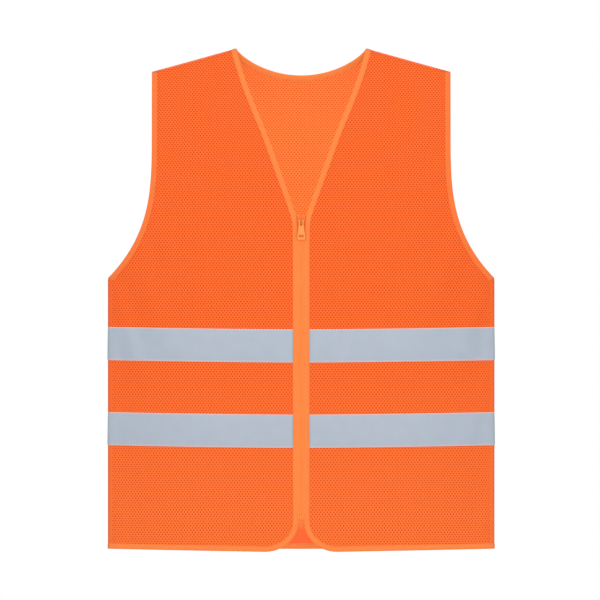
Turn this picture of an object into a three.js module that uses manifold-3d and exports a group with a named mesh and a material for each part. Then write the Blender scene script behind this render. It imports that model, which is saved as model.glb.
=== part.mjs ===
// A zip-front high visibility vest, hung as on a coat hanger. Millimetres, +Z up.
//
// The origin is midway between the two neck ends of the shoulder seams, on the line that a
// hanger or the wearer's shoulders carry. The front faces -Y, and the wearer's left is +X.
//
// Every fabric piece lies on one of two curved sheets, the front and the back, which meet at
// the shoulder and side seams. Both are built of flat facets that all pieces share, so a
// piece follows its neighbour exactly. A point of a sheet is given by its x and z and by its
// layer: how far outwards it is from the middle of the mesh fabric. The layers keep the mesh,
// the bands, the edge binding and the zip apart.
//
// Each front can fold open about a straight line from the V-neck to the hem. A front is one
// cut piece of mesh on the real vest; here it is divided along that line, because each side
// of a fold is a rigid body.

import * as THREE from "three";
import { mergeVertices } from "three/addons/utils/BufferGeometryUtils.js";
import Module from "manifold-3d";

const wasm = await Module();
wasm.setup();

// ---------- Driving dimensions ----------

const HALF_WIDTH = 290.5; // centre to side seam
const FULL_DEPTH = 65; // how far each sheet stands out at the centre, below the shoulders
const SEAM_HALF = 1.8; // half the distance between the two sheets at a seam
const ROUNDNESS = 3; // power of the cross-section: higher is flatter in the middle
const RISE = 240; // distance below the shoulder at which a sheet reaches its full depth

const NECK_X = 97.5; // neck end of the shoulder seam
const TIP_X = 224.5; // armhole end of the shoulder seam
const TIP_Z = -35;
const BACK_NECK_DROP = 40;

const ARMHOLE_TOP_Z = -130; // the armhole is straight above this
const UNDERARM_Z = -345;
const ARMHOLE_POWER = 3.2;

const FRONT_HEM_Z = -756;
const BACK_HEM_Z = -753;
const SIDE_HEM_Z = -752;
const CORNER_WIDTH = 50; // round lower corner of each front
const CORNER_HEIGHT = 46;

const EDGE_X = 4.2; // front edge to centre line, beside the zip
const V_BOTTOM_Z = -258;
const V_BOW = 4;
const V_SOFTNESS = 3;

const FOLD_TOP_X = 52; // the fold line of a front, from the V-neck to the hem
const FOLD_TOP_Z = -120;
const FOLD_HEM_X = 180;
const FOLD_GAP = 2.5;
const FLAP_TOP_Z = -152;
const UPPER_V_END_Z = -144;

const BAND_WIDTH = 50;
const UPPER_BAND_TOP_Z = -422;
const LOWER_BAND_TOP_Z = -550;

const BINDING_WIDTH = 9;
const BINDING_RIM = 0.5; // thickness of the folded tape at the very edge
const EDGE_INSET = 0.9; // mesh edge to the outside of its binding
const CLEAR = 0.3; // least gap between two pieces
const OVERRUN = 3; // how far a path is drawn past a seam, to be cut off there

// Layers, as [inner, outer] distances from the middle of the mesh, positive outwards.
const MESH = [-0.5, 0.5];
const BAND = [0.8, 1.3];
const BINDING = [-1.3, 1.3];
const BINDING_FACES = [
  [-1.3, -0.8],
  [0.8, 1.3],
];
const ZIP_TAPE = [-2.2, -1.6];
const COIL = [-1.3, 1.2];
const FILM = [-3.1, -2.5];

const ZIP_TOP_Z = -250;
const ZIP_END_Z = -718;
const TAPE_XS = [2, 15];
const COIL_XS = [0.3, 3];
const PIN_TOP_Z = -700;
const BOX_TOP_Z = -707;

const SLIDER_TOP_Z = -254;
const SLIDER_LENGTH = 14;
const DIAMOND_LENGTH = 5.2; // the wedge that parts the coils, from the slider's top
const PIVOT_BELOW_TOP = 4.2; // the pull tab's hinge, below the slider's top
const PIVOT_LAYER = 4.2;

// ---------- Materials ----------

const finish = (color, roughness) => new THREE.MeshStandardMaterial({ color, roughness });

const MATERIALS = {
  mesh: finish(0xf9682f, 0.85),
  binding: finish(0xfa8844, 0.8),
  band: finish(0xb7c3cf, 0.45),
  seam: finish(0xf26a30, 0.9),
  tape: finish(0xf98545, 0.8),
  nylon: finish(0xf27a3c, 0.45),
  metal: finish(0xf78a45, 0.4),
  film: finish(0xf98a58, 0.3),
};

// ---------- The facets of a sheet ----------

const lerp = (a, b, t) => a + (b - a) * t;
const lerpPoint = (a, b, t) => a.map((value, k) => lerp(value, b[k], t));
const clamp = (t) => Math.min(1, Math.max(0, t));
const steps = (count, make) => Array.from({ length: count + 1 }, (_, i) => make(i / count));

// Upright facet edges, and the rows of facet corners by their drop below the shoulder line.
const FLAT_HALF = 70;
const COLUMNS = [FLAT_HALF, NECK_X, 130, 163, 194, TIP_X, 250, 272, HALF_WIDTH];
const DROPS = [CLEAR / 2, 20, 45, 75, 115, 165, RISE, 800];

// Height of the shoulder line, carried on level across the neck and down past the tip.
const shoulderZ = (x) => (TIP_Z * Math.max(0, Math.abs(x) - NECK_X)) / (TIP_X - NECK_X);

function facetCorner(x, drop) {
  const across = 1 - (Math.abs(x) / HALF_WIDTH) ** ROUNDNESS;
  const down = 1 - (1 - Math.min(1, drop / RISE)) ** 3;
  return [x, SEAM_HALF + FULL_DEPTH * across * down, shoulderZ(x) - drop];
}

const CENTRE_Y = facetCorner(FLAT_HALF, RISE)[1];

// Distance from y = 0 as a linear function of x and z, through three corners.
function planeThrough([a, b, c]) {
  const [bx, by, bz] = b.map((value, k) => value - a[k]);
  const [cx, cy, cz] = c.map((value, k) => value - a[k]);
  const det = bx * cz - cx * bz;
  const perX = (by * cz - cy * bz) / det;
  const perZ = (bx * cy - cx * by) / det;
  return (x, z) => a[1] + perX * (x - a[0]) + perZ * (z - a[2]);
}

const mirror = (corners) => corners.map(([x, y, z]) => [-x, y, z]).reverse();

// Corners run anticlockwise as x to the right and z up.
function sheetFacets() {
  const cornerSets = [];
  for (let row = 0; row + 1 < DROPS.length; row++) {
    const [high, low] = [DROPS[row], DROPS[row + 1]];
    const [left, right] = [-FLAT_HALF, FLAT_HALF];
    cornerSets.push([
      facetCorner(left, low),
      facetCorner(right, low),
      facetCorner(right, high),
      facetCorner(left, high),
    ]);
    for (let column = 0; column + 1 < COLUMNS.length; column++) {
      const [near, far] = [COLUMNS[column], COLUMNS[column + 1]];
      const lowNear = facetCorner(near, low);
      const lowFar = facetCorner(far, low);
      const highFar = facetCorner(far, high);
      const highNear = facetCorner(near, high);
      const split = high < RISE;
      const sets = split
        ? [
            [lowNear, lowFar, highNear],
            [lowFar, highFar, highNear],
          ]
        : [[lowNear, lowFar, highFar, highNear]];
      cornerSets.push(...sets, ...sets.map(mirror));
    }
  }
  return cornerSets.map((corners) => ({
    outline: corners.map(([x, , z]) => [x, z]),
    distance: planeThrough(corners),
  }));
}

const FACETS = sheetFacets();
const FRONT = -1;
const BACK = 1;

// ---------- Pieces on a sheet ----------

// The part of a convex polygon that lies to the left of the line from a to b.
function keepLeft(polygon, [ax, az], [bx, bz]) {
  const side = ([x, z]) => (bx - ax) * (z - az) - (bz - az) * (x - ax);
  return polygon.flatMap((point, i) => {
    const next = polygon[(i + 1) % polygon.length];
    const [here, there] = [side(point), side(next)];
    const kept = here >= 0 ? [point] : [];
    if (here * there < 0) {
      const t = here / (here - there);
      kept.push([lerp(point[0], next[0], t), lerp(point[1], next[1], t)]);
    }
    return kept;
  });
}

const clipTo = (outline, polygon) =>
  outline.reduce((part, a, i) => keepLeft(part, a, outline[(i + 1) % outline.length]), polygon);

function area(polygon) {
  const twice = polygon.reduce((sum, [x, z], i) => {
    const [nextX, nextZ] = polygon[(i + 1) % polygon.length];
    return sum + x * nextZ - nextX * z;
  }, 0);
  return twice / 2;
}

const anticlockwise = (polygon) => (area(polygon) < 0 ? [...polygon].reverse() : polygon);

// A manifold-3d solid from points and convex faces that close up.
function closed(points, faces) {
  const triangles = faces.flatMap((face) =>
    face.slice(2).flatMap((corner, i) => [face[0], face[i + 1], corner]),
  );
  const vertProperties = new Float32Array(points.flat());
  const triVerts = new Uint32Array(triangles);
  return new wasm.Manifold(new wasm.Mesh({ numProp: 3, vertProperties, triVerts }));
}

// Convex pieces that share whole edges, laid on a sheet between two layers.
function slab(face, pieces, [inner, outer]) {
  const seen = new Map();
  const points = [];
  const place = ([x, z], facet) => {
    const key = [x, z].map((value) => Math.round(value * 1e3)).join();
    if (!seen.has(key)) {
      seen.set(key, points.length);
      points.push([x, facet.distance(x, z), z]);
    }
    return seen.get(key);
  };
  const polygons = [];
  for (const piece of pieces.map(anticlockwise))
    for (const facet of FACETS) {
      const corners = clipTo(facet.outline, piece).map((point) => place(point, facet));
      const distinct = corners.filter((corner, i) => corner !== corners.at(i - 1));
      if (distinct.length > 2) polygons.push(distinct);
    }
  const count = points.length;
  const edges = polygons.flatMap((polygon) => polygon.map((a, i) => [a, polygon[(i + 1) % polygon.length]]));
  const directed = new Set(edges.map(String));
  const rim = edges.filter(([a, b]) => !directed.has(String([b, a])));
  const faces = [
    ...polygons.map((polygon) => polygon.map((corner) => corner + count)),
    ...polygons.map((polygon) => [...polygon].reverse()),
    ...rim.map(([a, b]) => [b + count, a + count, a, b]),
  ];
  const layered = [inner, outer].flatMap((layer) => points.map(([x, y, z]) => [x, face * (y + layer), z]));
  return closed(layered, face === FRONT ? faces : faces.map((corners) => [...corners].reverse()));
}

// The pieces between two edges that both run upwards, cut level at every corner of either.
function between(left, right) {
  const bottom = Math.max(left[0][1], right[0][1]);
  const top = Math.min(left.at(-1)[1], right.at(-1)[1]);
  const levels = [...left, ...right]
    .map(([, z]) => z)
    .filter((z) => z >= bottom && z <= top)
    .sort((a, b) => a - b)
    .filter((z, i, all) => i === 0 || z - all[i - 1] > CLEAR);
  return levels.slice(1).map((high, i) => {
    const low = levels[i];
    return [
      [xAt(left, low), low],
      [xAt(right, low), low],
      [xAt(right, high), high],
      [xAt(left, high), high],
    ].filter(([x, z], k, all) => Math.hypot(x - all.at(k - 1)[0], z - all.at(k - 1)[1]) > 1e-6);
  });
}

function xAt(path, z) {
  const i = Math.max(1, path.findIndex((point) => point[1] >= z - 1e-9));
  const [[x0, z0], [x1, z1]] = [path[i - 1], path[i]];
  return z1 - z0 < 1e-9 ? x1 : lerp(x0, x1, clamp((z - z0) / (z1 - z0)));
}

// A path moved sideways, to its left when the distance is positive.
function offset(path, distance) {
  return path.map(([x, z], i) => {
    const [x0, z0] = path[Math.max(0, i - 1)];
    const [x1, z1] = path[Math.min(path.length - 1, i + 1)];
    const length = Math.hypot(x1 - x0, z1 - z0);
    return [x - (distance * (z1 - z0)) / length, z + (distance * (x1 - x0)) / length];
  });
}

function strip(path, width) {
  const inside = offset(path, width);
  return path.slice(1).map((point, i) => [path[i], point, inside[i + 1], inside[i]]);
}

// ---------- Outlines, for the side where x is positive ----------

// Every path runs anticlockwise round the fabric: down the neck and the front edge, along the
// hem, and up the side and the armhole. The fabric is always to its left.

const levelsBetween = (count, from, to) => steps(count, (t) => lerp(from, to, t));
const upwards = (path) => [...path].reverse();

function armholeX(z) {
  const t = clamp((ARMHOLE_TOP_Z - z) / (ARMHOLE_TOP_Z - UNDERARM_Z));
  return TIP_X + (HALF_WIDTH - TIP_X) * t ** ARMHOLE_POWER;
}

function armholePath() {
  const curved = steps(7, (t) => lerp(UNDERARM_Z, ARMHOLE_TOP_Z - 30, t ** 1.4));
  return [
    [HALF_WIDTH + OVERRUN, UNDERARM_Z - OVERRUN],
    ...[...curved, ARMHOLE_TOP_Z].map((z) => [armholeX(z), z]),
    [TIP_X, TIP_Z + OVERRUN],
  ];
}

function frontEdgeX(z) {
  const t = z / V_BOTTOM_Z;
  const straight = (NECK_X - EDGE_X) * (1 - t);
  if (t < 0.5) return EDGE_X + straight + V_BOW * Math.sin(2 * Math.PI * t) * (1 - t);
  return EDGE_X + (straight + Math.hypot(straight, V_SOFTNESS)) / 2;
}

const frontEdge = (levels) => levels.map((z) => [frontEdgeX(z), z]);

const upperNeckPath = () => [
  [NECK_X + OVERRUN / 3, OVERRUN],
  ...frontEdge(levelsBetween(4, 0, UPPER_V_END_Z)),
];

const lowerCorner = () =>
  steps(6, (t) => [
    EDGE_X + CORNER_WIDTH * (1 - Math.cos((t * Math.PI) / 2)),
    FRONT_HEM_Z + CORNER_HEIGHT * (1 - Math.sin((t * Math.PI) / 2)),
  ]);

function hemPoint(x) {
  const start = EDGE_X + CORNER_WIDTH;
  return [x, lerp(FRONT_HEM_Z, SIDE_HEM_Z, (x - start) / (HALF_WIDTH - start))];
}

const foldX = (z) => lerp(FOLD_TOP_X, FOLD_HEM_X, (FOLD_TOP_Z - z) / (FOLD_TOP_Z - FRONT_HEM_Z));

const flapPath = () => [
  ...frontEdge([...levelsBetween(5, FLAP_TOP_Z, V_BOTTOM_Z), V_BOTTOM_Z - 14]),
  ...lowerCorner(),
  hemPoint(foldX(FRONT_HEM_Z) - FOLD_GAP),
];

const sideHemPath = () => [hemPoint(foldX(FRONT_HEM_Z) + FOLD_GAP), hemPoint(HALF_WIDTH + OVERRUN)];

const backNeckZ = (x) => -BACK_NECK_DROP * (1 - (x / NECK_X) ** 2) ** 0.8;

// The two back paths run the whole way across.
const backNeckPath = () => [
  [NECK_X + OVERRUN / 3, OVERRUN],
  ...steps(14, (t) => lerp(NECK_X, -NECK_X, t)).map((x) => [x, backNeckZ(x)]),
  [-NECK_X - OVERRUN / 3, OVERRUN],
];

const backHemPath = () => [
  [-HALF_WIDTH - OVERRUN, SIDE_HEM_Z],
  [0, BACK_HEM_Z],
  [HALF_WIDTH + OVERRUN, SIDE_HEM_Z],
];

// From the side of the hem up to the neck: side seam, armhole and shoulder.
function outerEdge() {
  const armhole = offset(armholePath(), EDGE_INSET);
  return [
    [HALF_WIDTH, SIDE_HEM_Z + EDGE_INSET],
    ...armhole.slice(0, -1).map(([x, z]) => [Math.min(x, HALF_WIDTH), z]),
    [TIP_X - EDGE_INSET, TIP_Z + OVERRUN],
    [NECK_X + OVERRUN, OVERRUN],
  ];
}

// ---------- Fabric pieces ----------

const flip = (path) => path.map(([x, z]) => [-x, z]);
const toSide = (side, pieces) => (side > 0 ? pieces : pieces.map(flip));
const bothSides = (pieces) => [...pieces, ...pieces.map(flip)];

function frontSidePanel() {
  const fold = (z) => [foldX(z) + FOLD_GAP, z];
  const corner = [foldX(FRONT_HEM_Z) + FOLD_GAP, hemPoint(foldX(FRONT_HEM_Z) + FOLD_GAP)[1] + EDGE_INSET];
  const inner = [corner, fold(FLAP_TOP_Z), ...upwards(offset(upperNeckPath(), EDGE_INSET))];
  return between(inner, [corner, ...outerEdge()]);
}

function frontFlapPanel() {
  const outline = offset(flapPath(), EDGE_INSET);
  const lowest = outline.length - 2;
  const inner = upwards(outline.slice(0, lowest + 1));
  const fold = [foldX(FLAP_TOP_Z) - FOLD_GAP, FLAP_TOP_Z];
  return between(inner, [...outline.slice(lowest), fold]);
}

function backHalfPanel() {
  const hem = [0, BACK_HEM_Z + EDGE_INSET];
  const neck = upwards(offset(backNeckPath(), EDGE_INSET).slice(0, 9));
  return between([hem, ...neck], [hem, ...outerEdge()]);
}

// A reflective band between two edges that are x over z.
function band(top, from, to) {
  const bottom = top - BAND_WIDTH;
  return [
    [from(bottom), bottom],
    [to(bottom), bottom],
    [to(top), top],
    [from(top), top],
  ];
}

// A tape folded over the edge along a path.
function binding(side, face, path) {
  const laid = (width, layers) => slab(face, toSide(side, strip(path, width)), layers);
  const [under, over] = BINDING_FACES.map((layers) => laid(BINDING_WIDTH, layers));
  return under.add(over).add(laid(BINDING_RIM, BINDING));
}

// One tape runs round the whole armhole; its front and back halves join at both ends.
function armholeBinding(side) {
  const path = armholePath();
  const tip = [
    [TIP_X, TIP_Z - 3],
    [TIP_X, TIP_Z - CLEAR],
  ];
  const underarm = [lerpPoint(path[1], path[2], 0.02), lerpPoint(path[1], path[2], 0.2)];
  const joins = [tip, underarm].map((ends) =>
    extruded(toSide(side, strip(ends, BINDING_RIM))[0], [-SEAM_HALF, SEAM_HALF]),
  );
  return [FRONT, BACK]
    .map((face) => binding(side, face, path))
    .concat(joins)
    .reduce((whole, part) => whole.add(part));
}

// ---------- Plain solids ----------

// A three.js geometry as a manifold-3d solid, and back.
function solidOf(geometry) {
  const bare = geometry.clone();
  bare.deleteAttribute("normal");
  bare.deleteAttribute("uv");
  const merged = mergeVertices(bare, 1e-4);
  const vertProperties = merged.attributes.position.array;
  const triVerts = new Uint32Array(merged.index.array);
  return new wasm.Manifold(new wasm.Mesh({ numProp: 3, vertProperties, triVerts }));
}

function geometryOf(solid) {
  const mesh = solid.getMesh();
  const geometry = new THREE.BufferGeometry();
  geometry.setAttribute("position", new THREE.BufferAttribute(mesh.vertProperties.slice(), 3));
  geometry.setIndex(new THREE.BufferAttribute(mesh.triVerts.slice(), 1));
  geometry.computeVertexNormals();
  return geometry;
}

// An outline in x and z, extruded from y0 to y1.
function extruded(outline, [y0, y1]) {
  const shape = new THREE.Shape(outline.map(([x, z]) => new THREE.Vector2(x, z)));
  const flat = new THREE.ExtrudeGeometry(shape, { depth: y1 - y0, bevelEnabled: false });
  return solidOf(flat.rotateX(Math.PI / 2).translate(0, y1, 0));
}

const rectangle = ([x0, x1], [z0, z1]) => [
  [x0, z0],
  [x1, z0],
  [x1, z1],
  [x0, z1],
];
const box = (xs, ys, zs) => extruded(rectangle(xs, zs), ys);

// ---------- Seams: the overlocked allowances between the two sheets ----------

const SEAM_YS = [-1, 1];
const SEAM_ALLOWANCE = 8;

function sideSeam(side) {
  const xs = sideXs(side, [HALF_WIDTH - SEAM_ALLOWANCE, HALF_WIDTH - 2 * CLEAR]);
  return box(xs, SEAM_YS, [SIDE_HEM_Z + BINDING_WIDTH, UNDERARM_Z - BINDING_WIDTH]);
}

function shoulderSeam(side) {
  const [near, far] = [NECK_X + BINDING_WIDTH + 2, TIP_X - BINDING_WIDTH - 2];
  const outline = [
    [near, shoulderZ(near) - CLEAR],
    [far, shoulderZ(far) - CLEAR],
    [far, shoulderZ(far) - SEAM_ALLOWANCE],
    [near, shoulderZ(near) - SEAM_ALLOWANCE],
  ];
  return extruded(toSide(side, [outline])[0], SEAM_YS);
}

// ---------- Zip ----------

// y range of a range of layers on the flat centre front, where the zip runs.
const zipYs = ([inner, outer]) => [-CENTRE_Y - outer, -CENTRE_Y - inner];
const sideXs = (side, [inner, outer]) => (side > 0 ? [inner, outer] : [-outer, -inner]);
const zipBox = (side, xs, layers, zs) => box(sideXs(side, xs), zipYs(layers), zs);

const zipTape = (side) => zipBox(side, TAPE_XS, ZIP_TAPE, [ZIP_END_Z, ZIP_TOP_Z]);
const topStop = (side) => zipBox(side, [1.6, 4.4], [-1.3, 0.7], [SLIDER_TOP_Z + CLEAR, ZIP_TOP_Z]);
const pin = (side) => zipBox(side, [0.65, 2.55], [-0.4, 1.2], [BOX_TOP_Z - 8.2, PIN_TOP_Z]);
const endFilm = (side) => zipBox(side, [5.6, 14.2], FILM, [ZIP_END_Z + 1, ZIP_END_Z + 28]);

// The nylon coil as one rounded bar, from the wedge in the slider down to the pins.
function coil(side) {
  const [near, far] = COIL_XS;
  const [inner, outer] = COIL;
  const round = 0.7;
  const section = [
    [near, inner + round],
    [near + round, inner],
    [far - round, inner],
    [far, inner + round],
    [far, outer - round],
    [far - round, outer],
    [near + round, outer],
    [near, outer - round],
  ];
  const top = SLIDER_TOP_Z - DIAMOND_LENGTH - CLEAR;
  const bottom = PIN_TOP_Z + CLEAR;
  const shape = new THREE.Shape(
    section.map(([x, layer]) => new THREE.Vector2(side * x, -CENTRE_Y - layer)),
  );
  const bar = new THREE.ExtrudeGeometry(shape, { depth: top - bottom, bevelEnabled: false });
  return solidOf(bar.translate(0, 0, bottom));
}

function retainerBox() {
  const block = box([-3.7, 3.7], zipYs([-1.3, 2.2]), [BOX_TOP_Z - 10, BOX_TOP_Z]);
  const socket = (side) => zipBox(side, [0.35, 2.85], [-0.7, 1.5], [BOX_TOP_Z - 8.5, BOX_TOP_Z + 1]);
  return block.subtract(socket(1)).subtract(socket(-1));
}

// Half an outline from top to bottom, as half-widths by distance below a height; made
// symmetric and extruded through a range of layers on the zip.
function plate(top, half, layers) {
  const right = half.map(([x, below]) => [x, top - below]);
  return extruded([...right, ...flip(right).reverse()], zipYs(layers));
}

function sliderBody() {
  const upper = [
    [2.6, 0],
    [6, 1.8],
    [6.2, 5],
    [4.7, 9.8],
    [4.4, SLIDER_LENGTH - 0.8],
    [3.5, SLIDER_LENGTH],
  ];
  const lower = [
    [2.4, 0.3],
    [5.2, 1.9],
    [5.2, 5],
    [4.2, 9.6],
    [3.9, SLIDER_LENGTH - 0.4],
  ];
  const diamond = [
    [1.1, 0.4],
    [1.6, 1.8],
    [0.4, DIAMOND_LENGTH],
  ];
  const flangeZs = [SLIDER_TOP_Z - SLIDER_LENGTH + 0.6, SLIDER_TOP_Z - 6];
  const flange = (side) => zipBox(side, [3.3, 3.9], [-1.25, 1.7], flangeZs);
  const springHole = box([-0.9, 0.9], zipYs([1, 3.5]), [SLIDER_TOP_Z - 9.2, SLIDER_TOP_Z - 7.8]);
  return plate(SLIDER_TOP_Z, upper, [1.6, 2.9])
    .add(plate(SLIDER_TOP_Z, lower, [-3.8, -2.5]))
    .add(plate(SLIDER_TOP_Z, diamond, [-2.6, 1.7]))
    .add(flange(1))
    .add(flange(-1))
    .subtract(springHole);
}

// The arch on the slider that holds the pull tab, standing 0.3 mm clear of its plate.
function sliderBridge() {
  const [foot, crest, thick, high, low] = [3.2, 6.5, 1.1, 1.4, 10.8];
  const profile = [
    [high, foot],
    [high, crest - thick],
    [high + thick, crest],
    [low - thick, crest],
    [low, crest - thick],
    [low, foot],
    [low - thick, foot],
    [low - thick, crest - thick],
    [high + thick, crest - thick],
    [high + thick, foot],
  ];
  const shape = new THREE.Shape(
    profile.map(([below, layer]) => new THREE.Vector2(-CENTRE_Y - layer, SLIDER_TOP_Z - below)),
  );
  // Drawn in y and z, and extruded along x.
  const drawn = new THREE.ExtrudeGeometry(shape, { depth: 2, bevelEnabled: false });
  const turn = new THREE.Matrix4().set(0, 0, 1, -1, 1, 0, 0, 0, 0, 1, 0, 0, 0, 0, 0, 1);
  return solidOf(drawn.applyMatrix4(turn));
}

// The leaf spring whose tip drops through the slider to lock it.
const lockSpring = () =>
  box([-0.6, 0.6], zipYs([1.5, 5]), [SLIDER_TOP_Z - 8.8, SLIDER_TOP_Z - 8.2]);

function pullTab() {
  const pivotZ = SLIDER_TOP_Z - PIVOT_BELOW_TOP;
  const through = [PIVOT_LAYER - 2, PIVOT_LAYER + 2];
  const body = [
    [3.2, -0.8],
    [3.8, 0],
    [3.7, 8.6],
    [4.6, 14.5],
    [5.4, 20],
    [5.8, 25],
    [5.8, 28.4],
    [5.1, 29.4],
  ];
  const bridgeSlot = [
    [1.5, 0.8],
    [1.5, 7.6],
    [0.8, 8.3],
  ];
  const cordHole = [
    [3.7, 22.2],
    [3.7, 26],
  ];
  return plate(pivotZ, body, [PIVOT_LAYER - 0.7, PIVOT_LAYER + 0.7])
    .subtract(plate(pivotZ, bridgeSlot, through))
    .subtract(plate(pivotZ, cordHole, through));
}

// ---------- The assembly ----------

const vest = new THREE.Group();
vest.name = "high_visibility_vest";

function add(name, solid, material) {
  const mesh = new THREE.Mesh(geometryOf(solid), MATERIALS[material]);
  mesh.name = name;
  vest.add(mesh);
}

const SIDES = { left: 1, right: -1 };
const BAND_TOPS = { upper: UPPER_BAND_TOP_Z, lower: LOWER_BAND_TOP_Z };
const bandStartX = EDGE_X + BINDING_WIDTH + CLEAR;

add("back_panel", slab(BACK, bothSides(backHalfPanel()), MESH), "mesh");
add("back_neck_binding", binding(1, BACK, backNeckPath()), "binding");
add("back_hem_binding", binding(1, BACK, backHemPath()), "binding");
for (const [level, top] of Object.entries(BAND_TOPS)) {
  const whole = band(top, () => -HALF_WIDTH, () => HALF_WIDTH);
  add(`${level}_band_back`, slab(BACK, [whole], BAND), "band");
}

for (const [name, side] of Object.entries(SIDES)) {
  add(`${name}_front_side_panel`, slab(FRONT, toSide(side, frontSidePanel()), MESH), "mesh");
  add(`${name}_front_flap_panel`, slab(FRONT, toSide(side, frontFlapPanel()), MESH), "mesh");
  for (const [level, top] of Object.entries(BAND_TOPS)) {
    const outside = band(top, (z) => foldX(z) + FOLD_GAP, () => HALF_WIDTH);
    const inside = band(top, () => bandStartX, (z) => foldX(z) - FOLD_GAP);
    add(`${name}_${level}_band_side`, slab(FRONT, toSide(side, [outside]), BAND), "band");
    add(`${name}_${level}_band_flap`, slab(FRONT, toSide(side, [inside]), BAND), "band");
  }
  add(`${name}_upper_neck_binding`, binding(side, FRONT, upperNeckPath()), "binding");
  add(`${name}_flap_binding`, binding(side, FRONT, flapPath()), "binding");
  add(`${name}_side_hem_binding`, binding(side, FRONT, sideHemPath()), "binding");
  add(`${name}_armhole_binding`, armholeBinding(side), "binding");
  add(`${name}_side_seam`, sideSeam(side), "seam");
  add(`${name}_shoulder_seam`, shoulderSeam(side), "seam");
  add(`${name}_zip_tape`, zipTape(side), "tape");
  add(`${name}_zip_coil`, coil(side), "nylon");
  add(`${name}_zip_top_stop`, topStop(side), "metal");
  add(`${name}_zip_end_film`, endFilm(side), "film");
}

add("zip_retainer_box", retainerBox(), "nylon");
add("zip_retainer_pin", pin(SIDES.left), "nylon");
add("zip_insertion_pin", pin(SIDES.right), "nylon");
add("zip_slider_body", sliderBody(), "metal");
add("zip_slider_bridge", sliderBridge(), "metal");
add("zip_slider_lock_spring", lockSpring(), "metal");
add("zip_pull_tab", pullTab(), "metal");

export default vest;
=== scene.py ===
"""A high visibility vest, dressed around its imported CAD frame. Metres, +Z up, front towards -Y.

Every fabric piece lies on one of two smooth sheets, the front and the back. A piece is drawn
along a Track: s runs along an edge, e inwards from it, and the layer is the height above the
middle of the mesh fabric. So the mesh, bands, bindings and stitches all follow one cloth."""

import math

import bmesh
import bpy
import numpy as np
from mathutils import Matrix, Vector


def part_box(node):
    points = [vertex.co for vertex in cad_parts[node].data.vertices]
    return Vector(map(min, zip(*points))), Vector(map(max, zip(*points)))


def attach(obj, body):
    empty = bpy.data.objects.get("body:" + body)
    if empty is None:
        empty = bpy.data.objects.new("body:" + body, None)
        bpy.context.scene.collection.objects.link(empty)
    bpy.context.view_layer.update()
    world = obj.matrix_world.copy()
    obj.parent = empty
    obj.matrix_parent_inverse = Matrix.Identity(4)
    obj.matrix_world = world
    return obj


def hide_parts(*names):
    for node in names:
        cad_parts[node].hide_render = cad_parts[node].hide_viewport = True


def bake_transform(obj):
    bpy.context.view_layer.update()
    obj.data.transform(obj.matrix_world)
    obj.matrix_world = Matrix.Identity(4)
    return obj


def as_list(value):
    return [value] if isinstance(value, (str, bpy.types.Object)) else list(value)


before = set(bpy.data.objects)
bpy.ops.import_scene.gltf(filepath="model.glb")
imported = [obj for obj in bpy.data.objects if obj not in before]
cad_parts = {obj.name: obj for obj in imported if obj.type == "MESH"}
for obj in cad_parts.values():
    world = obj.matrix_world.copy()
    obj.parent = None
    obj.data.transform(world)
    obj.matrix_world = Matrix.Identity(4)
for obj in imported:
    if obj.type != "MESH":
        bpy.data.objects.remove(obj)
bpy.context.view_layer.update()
scene = bpy.context.scene
MM = 0.001


# ---------------------------------------------------------------- sizes, from the frame

panel_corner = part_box("back_panel")[1]
front_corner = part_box("left_flap_binding")[0]

MESH_HALF = 0.5 * MM
HALF_WIDTH = panel_corner.x
CENTRE_Y = panel_corner.y - MESH_HALF
FRONT_HEM_Z = front_corner.z
SIDE_HEM_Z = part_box("left_side_seam")[0].z - 9 * MM
BACK_HEM_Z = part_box("back_hem_binding")[0].z
EDGE_X = front_corner.x
UPPER_BAND_TOP_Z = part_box("upper_band_back")[1].z
LOWER_BAND_TOP_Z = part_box("lower_band_back")[1].z
BAND_WIDTH = UPPER_BAND_TOP_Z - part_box("upper_band_back")[0].z

# The outline curves, as part.mjs draws them.
SEAM_HALF = 1.8 * MM
RISE = 240 * MM
ROUNDNESS = 3
FLAT_HALF = 70 * MM
NECK_X = 97.5 * MM
TIP_X = 224.5 * MM
TIP_Z = -35 * MM
BACK_NECK_DROP = 40 * MM
ARMHOLE_TOP_Z = -130 * MM
UNDERARM_Z = -345 * MM
ARMHOLE_POWER = 3.2
V_BOTTOM_Z = -258 * MM
V_BOW = 4 * MM
V_SOFTNESS = 3 * MM
CORNER_WIDTH = 50 * MM
CORNER_HEIGHT = 46 * MM
FOLD_TOP = Vector((52, 0, -120)) * MM
FOLD_HEM_X = 180 * MM

# How the real cloth is made up.
SHEET_HALF = 0.3 * MM  # half the thickness of the mesh fabric
EDGE_INSET = 0.8 * MM  # the mesh stops this far inside the fold of its binding
BINDING_WIDTH = 8.3 * MM
BINDING_HALF = 1.15 * MM  # half the thickness of the folded tape, at its fullest
TAPE_THICK = 0.4 * MM
BAND_LAYER = 0.55 * MM
BAND_THICK = 0.35 * MM
BAND_LIFT = 3.5 * MM  # the bands hang this much higher at the side seams than at the middle
STITCH_PITCH = 2.8 * MM
STITCH_INSET = 1.3 * MM  # stitch line to the inner edge of the binding
STITCH_SIDES = 6
BINDING_RIB = 0.9 * MM
BAND_SEW_INSET = 2.2 * MM  # stitch line to the edge of the band
BAND_TUCK = 0.4 * MM  # how far a band runs in under the edge binding
SWEEP_STEP = 4 * MM
FOLD_ZONE = 34 * MM  # how wide a strip of cloth lies across the fold line of each front
SEAM_TUCK = 1.5 * MM  # how far the sheets close in on each other at a seam
TUCK_REACH = 5 * MM
SIDE_SOFTNESS = 0.004  # how softly the flat middle turns into the curve to the side seam
SHOULDER_GAIN = 0.35  # cloth taken up by the curve below the shoulder, as a share of its depth
ZIP_HOLD = 16 * MM  # from the centre line, the cloth that the zip keeps flat
ZIP_REACH = 60 * MM  # beyond that, where the cloth comes to hang freely
SIDE_REACH = 25 * MM  # the same from the side seams
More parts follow.
